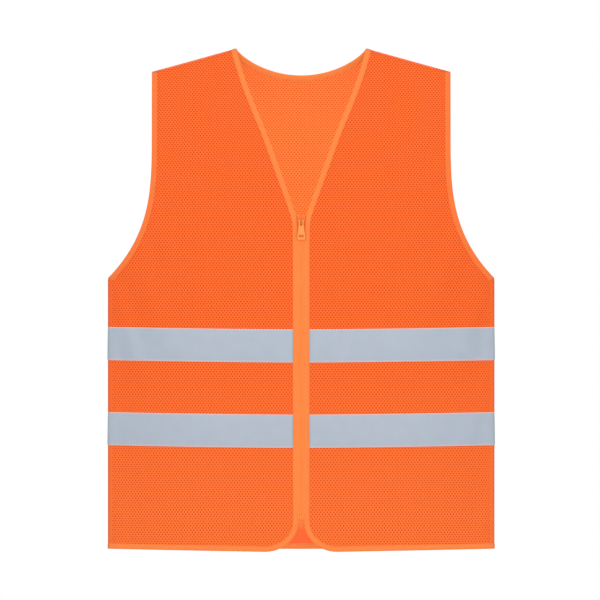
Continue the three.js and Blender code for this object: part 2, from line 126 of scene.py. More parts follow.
SIDE_MARGIN = 8 * MM  # plain, unperforated edge of the mesh beside the side seams
PLAIN_HEM_HEIGHT = 34 * MM  # the inside of the back panel is plain, without holes, and redder up to this height above the hem

FRONT, BACK = -1, 1
SIDES = {"left": 1, "right": -1}


# ---------------------------------------------------------------- the two sheets


def smooth(t):
    t = np.clip(t, 0, 1)
    return t * t * (3 - 2 * t)


def soft_max(value, softness):
    """value where it is positive and zero where it isn't, with a rounded corner."""
    return (value + np.hypot(value, softness)) / 2


def shoulder_z(x):
    return TIP_Z * np.maximum(0, np.abs(x) - NECK_X) / (TIP_X - NECK_X)


def across(x):
    """How full the sheet stands out, from 1 across the flat middle to 0 at the side seams."""
    level = (FLAT_HALF / HALF_WIDTH) ** ROUNDNESS
    rise = np.abs(x / HALF_WIDTH) ** ROUNDNESS
    return 1 - soft_max(rise - level, SIDE_SOFTNESS) / (1 - level)


def spline(t):
    """Weights of the four nearest rows or columns, for a smooth surface between them."""
    return (1 - t) ** 3 / 6, (3 * t**3 - 6 * t**2 + 4) / 6, (3 * (t + t**2 - t**3) + 1) / 6, t**3 / 6


def hung_out(face, x, z):
    """How far the hung cloth stands out from its plain shape; nothing beside the zip."""
    level = np.clip((z - SIDE_HEM_Z) / (shoulder_z(x) - SIDE_HEM_Z), 0, 1)
    share = np.clip(x / armhole_x(level_z(level)), -1, 1)
    row, column = level * (FIELD_ROWS - 1), (share + 1) / 2 * (FIELD_COLUMNS - 1)
    first_row, first_column = np.floor(row).astype(int), np.floor(column).astype(int)
    out = 0
    for i, row_weight in enumerate(spline(row - first_row)):
        rows = np.clip(first_row + i - 1, 0, FIELD_ROWS - 1)
        for j, column_weight in enumerate(spline(column - first_column)):
            columns = np.clip(first_column + j - 1, 0, FIELD_COLUMNS - 1)
            out = out + row_weight * column_weight * HUNG[face][rows, columns]
    zip_hold = smooth((np.abs(x) - ZIP_HOLD) / ZIP_REACH) if face == FRONT else 1
    return out * zip_hold * smooth((HALF_WIDTH - np.abs(x)) / SIDE_REACH)


def distance(face, x, z):
    """How far the sheet stands out from the plane y = 0."""
    below = np.clip((shoulder_z(x) - z) / RISE, 0, 1)
    rise = 1 - (1 - below) ** 3
    full = SEAM_HALF + (CENTRE_Y - SEAM_HALF) * across(x) * rise
    seam = np.minimum(HALF_WIDTH - np.abs(x), (shoulder_z(x) - z) + 1e-9)
    return full - SEAM_TUCK * np.exp(-np.maximum(seam, 0) / TUCK_REACH) + hung_out(face, x, z)


def lay(face, x, z, layer):
    """Points on a sheet, moved outwards along its normal by the layer."""
    x, z, layer = np.broadcast_arrays(x, z, layer)
    y = distance(face, x, z)
    step = 0.5 * MM
    slope_x = (distance(face, x + step, z) - distance(face, x - step, z)) / (2 * step)
    slope_z = (y - distance(face, x, z - step)) / step
    size = np.sqrt(1 + slope_x**2 + slope_z**2)
    out = y + layer / size
    return np.stack([x - layer * slope_x / size, face * out, z - layer * slope_z / size], -1)


# ---------------------------------------------------------------- outlines, for x above zero


def armhole_x(z):
    t = np.clip((ARMHOLE_TOP_Z - z) / (ARMHOLE_TOP_Z - UNDERARM_Z), 0, 1)
    return TIP_X + (HALF_WIDTH - TIP_X) * t**ARMHOLE_POWER


def front_edge_x(z):
    t = z / V_BOTTOM_Z
    straight = (NECK_X - EDGE_X) * (1 - t)
    upper = straight + V_BOW * np.sin(2 * np.pi * np.clip(t, 0, 0.5)) * (1 - t)
    lower = (straight + np.hypot(straight, V_SOFTNESS)) / 2
    drop = np.clip((FRONT_HEM_Z + CORNER_HEIGHT - z) / CORNER_HEIGHT, 0, 1)
    corner = CORNER_WIDTH * (1 - np.sqrt(1 - drop**2))
    return EDGE_X + np.where(t < 0.5, upper, lower) + corner


def front_hem_z(x):
    start = EDGE_X + CORNER_WIDTH
    return FRONT_HEM_Z + (SIDE_HEM_Z - FRONT_HEM_Z) * (x - start) / (HALF_WIDTH - start)


def back_neck_z(x):
    return -BACK_NECK_DROP * (1 - np.clip(np.abs(x) / NECK_X, 0, 1) ** 2) ** 0.8


def front_edge_path():
    """Down the neck, down the front edge, round the corner and along the hem."""
    neck = [(front_edge_x(z), z) for z in np.linspace(0, FRONT_HEM_Z + CORNER_HEIGHT, 90)]
    turn = np.linspace(0, np.pi / 2, 14)[1:]
    corner = [
        (EDGE_X + CORNER_WIDTH * (1 - np.cos(a)), FRONT_HEM_Z + CORNER_HEIGHT * (1 - np.sin(a)))
        for a in turn
    ]
    hem = [(x, front_hem_z(x)) for x in np.linspace(EDGE_X + CORNER_WIDTH, HALF_WIDTH, 8)[1:]]
    return np.array(neck + corner + hem)


def armhole_path():
    z = np.linspace(UNDERARM_Z, TIP_Z, 60)
    return np.stack([armhole_x(z), z], -1)


def back_neck_path():
    angle = np.linspace(0, np.pi, 61)
    x = NECK_X * np.cos(angle)
    return np.stack([x, back_neck_z(x)], -1)


def back_hem_path():
    x = np.linspace(-HALF_WIDTH, HALF_WIDTH, 21)
    z = BACK_HEM_Z + (SIDE_HEM_Z - BACK_HEM_Z) * np.abs(x) / HALF_WIDTH
    return np.stack([x, z], -1)


# ---------------------------------------------------------------- how the cloth hangs

FIELD_ROWS, FIELD_COLUMNS = 76, 73
FIELD_CAP = 5 * MM  # no place moves further than this
HANG_FRAMES = 26
HUNG = {face: np.zeros((FIELD_ROWS, FIELD_COLUMNS)) for face in (FRONT, BACK)}


def level_z(level):
    """Height on the side edge of a level, from 0 at the hem to 1 at the shoulder."""
    return SIDE_HEM_Z + (TIP_Z - SIDE_HEM_Z) * level


def grip(face, x, level, share):
    """How firmly each place is held: seams and zip fast, the rest loosely in its shape."""
    edge, loose = 0.999, 0.04
    fast = (np.abs(share) > edge) | (level > edge)
    if face == FRONT:
        fast = fast | (np.abs(x) < ZIP_HOLD)
    return np.where(fast, 1.0, loose)


def hang(face, chance):
    """Hangs one sheet by its seams, cut a little too full, and gives how far it stands out."""
    level, share = np.meshgrid(
        np.linspace(0, 1, FIELD_ROWS), np.linspace(-1, 1, FIELD_COLUMNS), indexing="ij"
    )
    x = share * armhole_x(level_z(level))
    z = SIDE_HEM_Z + (shoulder_z(x) - SIDE_HEM_Z) * level
    y = face * distance(face, x, z)
    start = np.stack([x, y, z], -1).reshape(-1, 3)
    start[:, 1] += chance.normal(0, 0.2 * MM, len(start))
    sheet = new_piece("hanging_sheet", start, grid_faces(FIELD_ROWS, FIELD_COLUMNS))
    held = sheet.vertex_groups.new(name="held")
    for index, weight in enumerate(grip(face, x, level, share).ravel()):
        held.add([index], float(weight), "REPLACE")
    cloth = sheet.modifiers.new("cloth", "CLOTH")
    cloth.settings.quality = 6
    cloth.settings.mass = 0.12
    cloth.settings.tension_stiffness = cloth.settings.compression_stiffness = 12
    cloth.settings.shear_stiffness = 4
    cloth.settings.bending_stiffness = 0.4
    cloth.settings.air_damping = 3
    cloth.settings.vertex_group_mass = held.name
    cloth.settings.pin_stiffness = 0.4
    cloth.settings.shrink_min = -0.02
    for number in range(1, HANG_FRAMES + 1):
        scene.frame_set(number)
    evaluated = sheet.evaluated_get(bpy.context.evaluated_depsgraph_get())
    hung = np.zeros(3 * len(start))
    evaluated.data.vertices.foreach_get("co", hung)
    bpy.data.objects.remove(sheet)
    scene.frame_set(1)
    out = face * (hung[1::3] - start[:, 1])
    return (FIELD_CAP * np.tanh(out / FIELD_CAP)).reshape(FIELD_ROWS, FIELD_COLUMNS)


class Track:
    """An edge on a sheet, with the fabric to the left of the path before it is mirrored."""

    def __init__(self, face, path, side=1):
        self.face, self.side = face, side
        steps = np.hypot(*np.diff(path, axis=0).T)
        self.along = np.concatenate([[0], np.cumsum(steps)])
        self.length = self.along[-1]
        self.path = path
        tangent = np.gradient(path, self.along, axis=0)
        tangent /= np.hypot(*tangent.T)[:, None]
        self.inward = np.stack([-tangent[:, 1], tangent[:, 0]], -1)

    def flat(self, s, e):
        """x and z of a place on the track."""
        pick = lambda values: np.interp(s, self.along, values)
        x = pick(self.path[:, 0]) + e * pick(self.inward[:, 0])
        z = pick(self.path[:, 1]) + e * pick(self.inward[:, 1])
        return self.side * x, z

    def at(self, s, e, layer):
        x, z = self.flat(s, e)
        return lay(self.face, x, z, layer)


# ---------------------------------------------------------------- meshes


def new_piece(name, points, faces, uvs=None, material=None):
    """uvs has one pair for each point."""
    data = bpy.data.meshes.new(name)
    data.from_pydata([tuple(p) for p in points], [], [tuple(f) for f in faces])
    if uvs is not None:
        corner_vertex = np.zeros(len(data.loops), np.int32)
        data.loops.foreach_get("vertex_index", corner_vertex)
        layer = data.uv_layers.new(name="UVMap")
        layer.data.foreach_set("uv", np.asarray(uvs, np.float32)[corner_vertex].ravel())
    data.polygons.foreach_set("use_smooth", [True] * len(data.polygons))
    data.update()
    obj = bpy.data.objects.new(name, data)
    scene.collection.objects.link(obj)
    if material is not None:
        data.materials.append(material)
    return obj


def face_outwards(obj):
    mesh = bmesh.new()
    mesh.from_mesh(obj.data)
    bmesh.ops.recalc_face_normals(mesh, faces=mesh.faces)
    mesh.to_mesh(obj.data)
    mesh.free()


def grid_faces(rows, columns):
    corner = np.arange((rows - 1) * columns).reshape(rows - 1, columns)[:, :-1].ravel()
    return np.stack([corner, corner + 1, corner + columns + 1, corner + columns], -1)


def ring_faces(count, size):
    """Faces of a closed tube of count rings, each with size points, with flat ends."""
    sides = [
        (i * size + k, i * size + (k + 1) % size, (i + 1) * size + (k + 1) % size, (i + 1) * size + k)
        for i in range(count - 1)
        for k in range(size)
    ]
    last = (count - 1) * size
    return sides + [tuple(range(size)), tuple(range(last + size - 1, last - 1, -1))]


def sweep(name, track, section, material):
    """A closed band of cloth along a track. section is a loop of (e, layer)."""
    count = max(2, int(round(track.length / SWEEP_STEP)) + 1)
    s = np.linspace(0, track.length, count)
    e, layer = np.array(section).T
    points = track.at(s[:, None], e[None, :], layer[None, :]).reshape(-1, 3)
    around = np.concatenate([[0], np.cumsum(np.hypot(np.diff(e), np.diff(layer)))])
    uvs = np.stack(np.broadcast_arrays(s[:, None], around[None, :]), -1).reshape(-1, 2)
    obj = new_piece(name, points, ring_faces(count, len(section)), uvs, material)
    face_outwards(obj)
    return obj


def binding_section():
    """A tape folded over the edge: thick at the fold, pinched where it is sewn."""
    width, full = BINDING_WIDTH, BINDING_HALF
    sewn = width - STITCH_INSET
    outline = [
        (width, 0.62 * full),
        (width - 0.3 * MM, 0.8 * full),
        (sewn + 0.5 * MM, 0.82 * full),
        (sewn, 0.7 * full),
        (sewn - 0.5 * MM, 0.86 * full),
        (0.62 * width, full),
        (0.3 * width, 1.02 * full),
        (0.1 * width, 0.85 * full),
        (0.02 * width, 0.45 * full),
    ]
    skin = [(width - 0.05 * MM, 0.62 * full - TAPE_THICK), (0.3 * width, full - TAPE_THICK)]
    fold = [(TAPE_THICK, 0)]
    over = outline + [(-0.01 * width, 0)]
    under = [(e, -layer) for e, layer in reversed(outline)]
    inside = [(e, -layer) for e, layer in skin] + fold + list(reversed(skin))
    return over + under + inside


def stitch_points(s, e):
    """Rings of a stitch centred at (s, e): its thread dives into the cloth at both ends."""
    half, thread, low, high = 0.4 * STITCH_PITCH, 0.22 * MM, -0.35, 0.55
    rings = [(-half, low), (-0.6 * half, high), (0.6 * half, high), (half, low)]
    turn = np.linspace(0, 2 * np.pi, STITCH_SIDES, endpoint=False)
    ds = np.array([[a] * STITCH_SIDES for a, _ in rings])
    de = np.array([thread * np.cos(turn)] * len(rings))
    lift = np.array([thread * (np.sin(turn) + rise) for _, rise in rings])
    return s[:, None, None] + ds, e + de, lift


def stitches(name, rows, material):
    """One object of all stitches along rows of (track, first s, last s, e, layer)."""
    points, faces = [], []
    for track, first, last, e, layer in rows:
        s = np.arange(first + STITCH_PITCH / 2, last, STITCH_PITCH)
        along, inward, lift = stitch_points(s, e)
        rings, sides = lift.shape
        placed = track.at(along, inward, layer + np.sign(layer) * lift).reshape(-1, 3)
        for base in range(len(points), len(points) + len(placed), rings * sides):
            faces.extend(tuple(base + k for k in face) for face in ring_faces(rings, sides))
        points.extend(placed)
    obj = new_piece(name, points, faces, None, material)
    face_outwards(obj)
    return obj


# ---------------------------------------------------------------- materials


class Nodes:
    """A material's node tree, with short names for the nodes used here."""

    def __init__(self, name, color, roughness, **sockets):
        self.material = bpy.data.materials.new(name)
        self.material.use_nodes = True
        self.tree = self.material.node_tree
        self.shader = self.tree.nodes["Principled BSDF"]
        self.shader.inputs["Base Color"].default_value = (*color, 1)
        self.shader.inputs["Roughness"].default_value = roughness
        for socket, value in sockets.items():
            self.shader.inputs[socket.replace("_", " ")].default_value = value
        self.material.diffuse_color = (*color, 1)

    def link(self, source, target):
        self.tree.links.new(source, target)

    def add(self, kind, **settings):
        node = self.tree.nodes.new(kind)
        for key, value in settings.items():
            setattr(node, key, value)
        return node

    def math(self, operation, *values):
        node = self.add("ShaderNodeMath", operation=operation)
        for socket, value in zip(node.inputs, values):
            if isinstance(value, (int, float)):
                socket.default_value = value
            else:
                self.link(value, socket)
        return node.outputs[0]

    def uv(self):
        """u and v in metres on the cloth."""
        coordinates = self.add("ShaderNodeUVMap", uv_map="UVMap")
        split = self.add("ShaderNodeSeparateXYZ")
        self.link(coordinates.outputs[0], split.inputs[0])
        return split.outputs[0], split.outputs[1]

    def noise(self, scale, detail=2.0):
        node = self.add("ShaderNodeTexNoise")
        node.inputs["Scale"].default_value = scale
        node.inputs["Detail"].default_value = detail
        self.link(self.add("ShaderNodeTexCoord").outputs["Object"], node.inputs["Vector"])
        return node.outputs[0]

    def add_range(self, value, low, high):
        """0 where value is low and 1 where it is high, and never outside those."""
        node = self.add("ShaderNodeMapRange")
        self.link(value, node.inputs["Value"])
        node.inputs["From Min"].default_value = low
        node.inputs["From Max"].default_value = high
        return node.outputs[0]

    def ramp(self, value, low, high, dark, light):
        """A colour that runs from dark at value low to light at value high."""
        return self.blend_color(self.add_range(value, low, high), dark, light)

    def blend_color(self, factor, first, second):
        """first where the factor is 0 and second where it is 1; either may be a plain colour."""
        mix = self.add("ShaderNodeMix", data_type="RGBA")
        self.link(factor, mix.inputs["Factor"])
        for socket, color in ((mix.inputs["A"], first), (mix.inputs["B"], second)):
            if isinstance(color, tuple):
                socket.default_value = (*color, 1)
            else:
                self.link(color, socket)
        return mix.outputs["Result"]

    def bump(self, height, distance):
        node = self.add("ShaderNodeBump")
        node.inputs["Distance"].default_value = distance
        self.link(height, node.inputs["Height"])
        self.link(node.outputs[0], self.shader.inputs["Normal"])

    def wave(self, value, pitch):
        """A ripple from 0 to 1 that repeats every pitch."""
        turned = self.math("MULTIPLY", value, 2 * math.pi / pitch)
        return self.math("MULTIPLY_ADD", self.math("SINE", turned), 0.5, 0.5)


def scaled(color, factor):
    return tuple(channel * factor for channel in color)


LIGHT_GAIN = 1.2  # how bright a white card would look beside the vest


def lit(red, green, blue):
    """The surface colour that shows as this linear colour in the studio light."""
    return scaled((red, green, blue), 1 / LIGHT_GAIN)


ORANGE, ORANGE_DARK = lit(1.02, 0.170, 0.034), lit(0.95, 0.122, 0.020)
# The inside of the back panel is a paler copy of the orange: painted light against the shade inside
# the vest.
INSIDE_ORANGE, INSIDE_DARK = lit(1.04, 0.222, 0.047), lit(1.0, 0.17, 0.034)
# The holes are not cut: they are dots of painted shade, standing for the shaded cloth behind them.
HOLE_SHADE_ORANGE = lit(0.66, 0.050, 0.003)
HEM_ORANGE = lit(1.1, 0.13, 0.038)
BINDING_ORANGE, BINDING_DARK = lit(1.0, 0.268, 0.062), lit(0.97, 0.225, 0.048)
ARMHOLE_ORANGE, ARMHOLE_DARK = lit(0.98, 0.222, 0.050), lit(0.93, 0.172, 0.034)
SILVER = lit(0.400, 0.458, 0.535)
CUT_EDGE = lit(0.84, 0.52, 0.46)
PAINTED_GLOW = 0.16  # painted light: emission on the zip and on the inside of the back panel, in place of the zip's fluorescent glow and of daylight through the back panel
HOLE_PITCH, HOLE_ROW, HOLE_RADIUS, HOLE_EDGE = 4.9 * MM, 3.4 * MM, 0.85 * MM, 0.25 * MM
YARN = 0.7 * MM
# The mesh gets paler towards the hem, from this height down.
PALE_LOW_ORANGE, PALE_TOP, PALE_DEPTH, PALE_SHARE = lit(1.04, 0.24, 0.055), 0.30, 0.25, 0.35


def mesh_fabric(name, light, dark, plain_hem, painted_glow=0.0):
    """Warp-knitted mesh: staggered holes in a fluorescent knit, drawn as dots of painted shade, plain
    beside the side seams.

    The next to last argument is the height above the hem up to which the knit is plain, without
    holes, and redder, and the last the strength of a painted glow: emission in place of daylight
    through the fabric from outside."""
    m = Nodes(name, light, 0.9, Sheen_Weight=0.02, Sheen_Roughness=0.5)
    m.shader.inputs["Specular IOR Level"].default_value = 0.08
    # The emission is painted light: the cloth glows though it is no lamp.
    m.shader.inputs["Emission Color"].default_value = (*light, 1)
    m.shader.inputs["Emission Strength"].default_value = painted_glow
    u, v = m.uv()
    row = m.math("FLOOR", m.math("DIVIDE", v, HOLE_ROW))
    shift = m.math("MULTIPLY", m.math("FLOORED_MODULO", row, 2.0), 0.5)
    column = m.math("ADD", m.math("DIVIDE", u, HOLE_PITCH), shift)
    across_hole = m.math("MULTIPLY", m.math("SUBTRACT", m.math("FRACT", column), 0.5), HOLE_PITCH)
    in_row = m.math("SUBTRACT", m.math("FRACT", m.math("DIVIDE", v, HOLE_ROW)), 0.5)
    along_hole = m.math("MULTIPLY", in_row, HOLE_ROW)
    squares = m.math("ADD", m.math("POWER", across_hole, 2.0), m.math("POWER", along_hole, 2.0))
    reach = m.math("SQRT", squares)
    margin = m.math("GREATER_THAN", m.math("ABSOLUTE", u), side_arc() - SIDE_MARGIN)
    plain = m.math("MULTIPLY", margin, m.math("LESS_THAN", v, UNDERARM_V))
    plain = m.math("MAXIMUM", plain, m.math("LESS_THAN", v, plain_hem))
    open_knit = m.math("SUBTRACT", 1.0, plain)
    inside = m.add_range(reach, HOLE_RADIUS + HOLE_EDGE, HOLE_RADIUS - HOLE_EDGE)
    hole = m.math("MULTIPLY", inside, open_knit)
    rim = m.math("MINIMUM", m.math("DIVIDE", reach, HOLE_PITCH / 2), 1.0)
    # Near each hole the knit is darker and between the holes lighter: painted shade and painted
    # highlight, mixed with random tone from the noise.
    shade = m.math("ADD", m.math("MULTIPLY", m.noise(900.0), 0.5), m.math("MULTIPLY", rim, 0.5))
    knit_color = m.ramp(shade, 0.3, 0.8, dark, light)
    paling = m.math("MULTIPLY", m.add_range(v, PALE_TOP, PALE_TOP - PALE_DEPTH), PALE_SHARE)
    knit_color = m.blend_color(paling, knit_color, PALE_LOW_ORANGE)
    hem = m.blend_color(m.math("LESS_THAN", v, plain_hem), knit_color, HEM_ORANGE)
    # Each hole is a dot of painted shade, a darker orange where the cloth behind would show through.
    m.link(m.blend_color(hole, hem, HOLE_SHADE_ORANGE), m.shader.inputs["Base Color"])
    left_yarn = m.wave(m.math("ADD", u, v), YARN)
    right_yarn = m.wave(m.math("SUBTRACT", u, v), YARN)
    knit = m.math("MULTIPLY", left_yarn, right_yarn)
    dome = m.math("SUBTRACT", m.math("SINE", m.math("MULTIPLY", rim, math.pi / 2)), hole)
    m.bump(m.math("ADD", dome, m.math("MULTIPLY", knit, 0.25)), 0.3 * MM)
    return m.material


def woven(name, light, dark, rib, painted_glow=0.0):
    """Woven tape: ribs across its length and finer yarns along it."""
    m = Nodes(name, light, 0.8, Sheen_Weight=0.04, Sheen_Roughness=0.5)
    m.shader.inputs["Specular IOR Level"].default_value = 0.15
    # The emission is painted light: the tape glows though it is no lamp.
    m.shader.inputs["Emission Color"].default_value = (*light, 1)
    m.shader.inputs["Emission Strength"].default_value = painted_glow
    u, v = m.uv()
    ribs = m.wave(u, rib)
    yarns = m.wave(v, rib * 0.7)
    weave = m.math("ADD", m.math("MULTIPLY", ribs, 0.6), m.math("MULTIPLY", yarns, 0.4))
    # The tone follows the ribs and yarns, darker in the grooves between them: painted shade, mixed
    # with random tone from the noise.
    tone = m.math("ADD", m.math("MULTIPLY", weave, 0.5), m.math("MULTIPLY", m.noise(350.0), 0.5))
    m.link(m.ramp(tone, 0.25, 0.75, dark, light), m.shader.inputs["Base Color"])
    m.bump(weave, 0.12 * MM)
    return m.material


def reflective():
    """Silver glass-bead tape on cloth: an even grey with a fine grain and pale cut edges."""
    m = Nodes("reflective_tape", SILVER, 0.42, Sheen_Weight=0.05)
    u, v = m.uv()
    beads = m.noise(2600.0, 1.0)
    cloud = m.noise(60.0, 3.0)
    tone = m.math("ADD", m.math("MULTIPLY", beads, 0.5), m.math("MULTIPLY", cloud, 0.5))
    face = m.ramp(tone, 0.3, 0.7, scaled(SILVER, 0.95), scaled(SILVER, 1.04))
    half = BAND_WIDTH / 2
    edge = m.math("GREATER_THAN", m.math("ABSOLUTE", v), half - 1.0 * MM)
    m.link(m.blend_color(edge, face, CUT_EDGE), m.shader.inputs["Base Color"])
    twill = m.wave(m.math("ADD", u, v), 0.9 * MM)
    m.bump(m.math("ADD", m.math("MULTIPLY", twill, 0.4), beads), 0.06 * MM)
    m.link(m.math("MULTIPLY_ADD", beads, 0.2, 0.34), m.shader.inputs["Roughness"])
    return m.material


def thread(name, color):
    m = Nodes(name, color, 0.6, Sheen_Weight=0.1)
    twist = m.noise(1500.0)
    m.link(m.ramp(twist, 0.3, 0.7, scaled(color, 0.85), color), m.shader.inputs["Base Color"])
    m.bump(twist, 0.08 * MM)
    return m.material


def moulded(name, color, roughness, painted_glow=0.0):
    """Nylon or clear film: smooth, with faint flow marks."""
    m = Nodes(name, color, roughness)
    m.shader.inputs["Specular IOR Level"].default_value = 0.15
    # The emission is painted light: the nylon glows though it is no lamp.
    m.shader.inputs["Emission Color"].default_value = (*color, 1)
    m.shader.inputs["Emission Strength"].default_value = painted_glow
    flow = m.noise(140.0, 4.0)
    m.link(m.ramp(flow, 0.3, 0.7, scaled(color, 0.92), color), m.shader.inputs["Base Color"])
    m.link(m.math("MULTIPLY_ADD", flow, 0.15, roughness - 0.07), m.shader.inputs["Roughness"])
    m.bump(flow, 0.05 * MM)
    return m.material


def painted(name, color):
    """Enamelled zinc: satin paint, a little orange peel, worn thin on the edges."""
    m = Nodes(name, color, 0.45, Coat_Weight=0.05, Coat_Roughness=0.25)
    m.shader.inputs["Specular IOR Level"].default_value = 0.12
    peel = m.noise(420.0, 3.0)
    wear = m.math("GREATER_THAN", m.add("ShaderNodeNewGeometry").outputs["Pointiness"], 0.56)
    patch = m.math("MULTIPLY", wear, m.math("GREATER_THAN", m.noise(700.0), 0.55))
    paint = m.ramp(peel, 0.3, 0.7, scaled(color, 0.93), color)
    worn = scaled(color, 1.06)
    m.link(m.blend_color(patch, paint, worn), m.shader.inputs["Base Color"])
    m.link(m.math("MULTIPLY_ADD", peel, 0.12, 0.38), m.shader.inputs["Roughness"])
    m.bump(peel, 0.04 * MM)
    return m.material


# ---------------------------------------------------------------- cloth coordinates


def arc_table():
    """Length along the cloth from the centre, over x, where the sheet stands out fully."""
    x = np.linspace(0, HALF_WIDTH, 400)
    y = SEAM_HALF + (CENTRE_Y - SEAM_HALF) * across(x)
    return x, np.concatenate([[0], np.cumsum(np.hypot(np.diff(x), np.diff(y)))])


def side_arc():
    return float(arc_table()[1][-1])


def cloth_uv(x, z):
    """Flat-pattern place of a point: u from the centre line, v up from the hem."""
    table_x, table_arc = arc_table()
    u = np.sign(x) * np.interp(np.abs(x), table_x, table_arc)
    below = np.clip((shoulder_z(x) - z) / RISE, 0, 1)
    gained = (CENTRE_Y - SEAM_HALF) * SHOULDER_GAIN * (1 - below) ** 2
    return np.stack([u, z - FRONT_HEM_Z + gained], -1)


UNDERARM_V = UNDERARM_Z - FRONT_HEM_Z


# ---------------------------------------------------------------- camera, light and stage


def make_camera():
    """Straight at the front, from far off, with frame_width of the front's plane in the frame."""
    frame_width, far, centre_x, centre_z = 0.9005, 30.0, -0.0018, -0.3780
    data = bpy.data.cameras.new("camera")
    data.sensor_width = 36
    data.lens = data.sensor_width * far / frame_width
    data.clip_end = 100
    camera = bpy.data.objects.new("camera", data)
    scene.collection.objects.link(camera)
    camera.location = (centre_x, -far - CENTRE_Y, centre_z)
    camera.rotation_euler = (math.pi / 2, 0, 0)
    scene.camera = camera


def make_light():
    world = bpy.data.worlds.new("world")
    world.use_nodes = True
    background = world.node_tree.nodes["Background"]
    background.inputs["Color"].default_value = (1, 1, 1, 1)
    background.inputs["Strength"].default_value = 1.0
    scene.world = world
    middle = Vector((0, 0, -0.38))
    for name, place, size, power in (
        ("key", (-1.1, -3.0, 0.6), 1.8, 24),
        ("fill", (1.3, -3.0, 0.2), 1.8, 20),
        ("back_key", (1.2, 3.0, 0.6), 1.8, 36),
    ):
        data = bpy.data.lights.new(name, "AREA")
        data.size = size
        data.energy = power
        light = bpy.data.objects.new(name, data)
        light.location = place
        light.rotation_euler = (middle - light.location).to_track_quat("-Z", "Y").to_euler()
        scene.collection.objects.link(light)
    scene.view_settings.view_transform = "Standard"


def make_floor():
    """A pale floor well below the hanging vest."""
    half, floor_z = 8.0, FRONT_HEM_Z - 0.25
    m = Nodes("floor", (0.72, 0.72, 0.72), 0.95)
    tone = m.ramp(m.noise(40.0, 3.0), 0.3, 0.7, (0.71, 0.71, 0.71), (0.73, 0.73, 0.73))
    m.link(tone, m.shader.inputs["Base Color"])
    square = [(-half, -half), (half, -half), (half, half), (-half, half)]
    corners = [(x, y, floor_z) for x, y in square]
    floor = new_piece("floor", corners, [(0, 1, 2, 3)], None, m.material)


# ---------------------------------------------------------------- the fold zone of each front; pieces are baked in place, not bent


def fold_zone(side):
    """The two ends of the fold zone, on a line square to the fold."""
    top = Vector((side * FOLD_TOP.x, 0, FOLD_TOP.z))
    hem = Vector((side * FOLD_HEM_X, 0, FRONT_HEM_Z))
    line = (hem - top).normalized()
    to_flap = Vector((line.z, 0, -line.x)) * (1 if line.z * side < 0 else -1)
    return top - to_flap * FOLD_ZONE / 2, top + to_flap * FOLD_ZONE / 2


def bend(piece, side_name):
    start, end = fold_zone(SIDES[side_name])
    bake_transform(piece)
    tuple(start)
    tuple(end)


# ---------------------------------------------------------------- mesh panels


def cloth_sheet(name, face, x, z, outside, inside):
    """A thin closed sheet over a grid of places, with a material for each face."""
    rows, columns = x.shape
    size = rows * columns
    points = [lay(face, x, z, layer).reshape(-1, 3) for layer in (SHEET_HALF, -SHEET_HALF)]
    skin = grid_faces(rows, columns)
    index = np.arange(size).reshape(rows, columns)
    border = np.concatenate([index[0, :-1], index[:-1, -1], index[-1, :0:-1], index[:0:-1, 0]])
    following = np.roll(border, -1)
    rim = np.stack([border, following, following + size, border + size], -1)
    faces = np.concatenate([skin, skin[:, ::-1] + size, rim])
    uv = cloth_uv(x.ravel(), z.ravel())
    obj = new_piece(name, np.concatenate(points), faces, np.concatenate([uv, uv]), outside)
    obj.data.materials.append(inside)
    inner_face = np.zeros(len(faces), np.int32)
    inner_face[len(skin) : 2 * len(skin)] = 1
    obj.data.polygons.foreach_set("material_index", inner_face)
    face_outwards(obj)
    return obj


def outer_edge(levels):
    """The side seam and armhole edge, inside the binding, at heights given from 0 to 1."""
    z = SIDE_HEM_Z + EDGE_INSET + (TIP_Z - SIDE_HEM_Z - EDGE_INSET) * levels
    x = armhole_x(z) - np.where(z > UNDERARM_Z, EDGE_INSET, 0)
    return np.stack([x, z], -1)


def front_panels(material):
    """Each front, from the zip or the neck edge across to the side seam or the armhole."""
    corner = (1 - np.cos(np.linspace(0, np.pi / 2, 16))) * CORNER_HEIGHT
    rest = np.linspace(CORNER_HEIGHT, -FRONT_HEM_Z, 130)[1:]
    rise = np.concatenate([corner, rest])
    z = FRONT_HEM_Z + EDGE_INSET + rise * (1 + EDGE_INSET / FRONT_HEM_Z)
    inner = np.stack([front_edge_x(z) + EDGE_INSET, z], -1)
    outer = outer_edge((z - z[0]) / (z[-1] - z[0]))
    share = np.linspace(0, 1, 60)[None, :, None]
    places = inner[:, None] * (1 - share) + outer[:, None] * share
    for name, side in SIDES.items():
        x, z = side * places[..., 0], places[..., 1]
        obj = cloth_sheet(name + "_front_panel", FRONT, x, z, material, material)
        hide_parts(name + "_front_side_panel", name + "_front_flap_panel")
        obj.visible_shadow = False  # daylight comes through the mesh, onto the back panel
        obj.visible_diffuse = False
        bend(obj, name)
        yield name, obj


def back_panel(outside, inside):
    """Rows run from the hem to the shoulders and the scooped neck, columns right across."""
    levels = np.linspace(0, 1, 134)
    share = np.linspace(-1, 1, 115)
    x = outer_edge(levels)[:, :1] * share[None, :]
    top_x = (TIP_X - EDGE_INSET) * share
    neck = back_neck_z(top_x) - EDGE_INSET
    top = np.where(np.abs(top_x) < NECK_X, neck, shoulder_z(top_x))
    hem = BACK_HEM_Z + (SIDE_HEM_Z - BACK_HEM_Z) * np.abs(share) + EDGE_INSET
    z = hem[None, :] + (top - hem)[None, :] * levels[:, None]
    obj = cloth_sheet("back_mesh", BACK, x, z, outside, inside)
    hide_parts("back_panel")
    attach(obj, "shell")
    return obj


# ---------------------------------------------------------------- bindings, bands and stitches


def sewn_rows(track, e, layer):
    return [(track, 0, track.length, e, layer), (track, 0, track.length, e, -layer)]


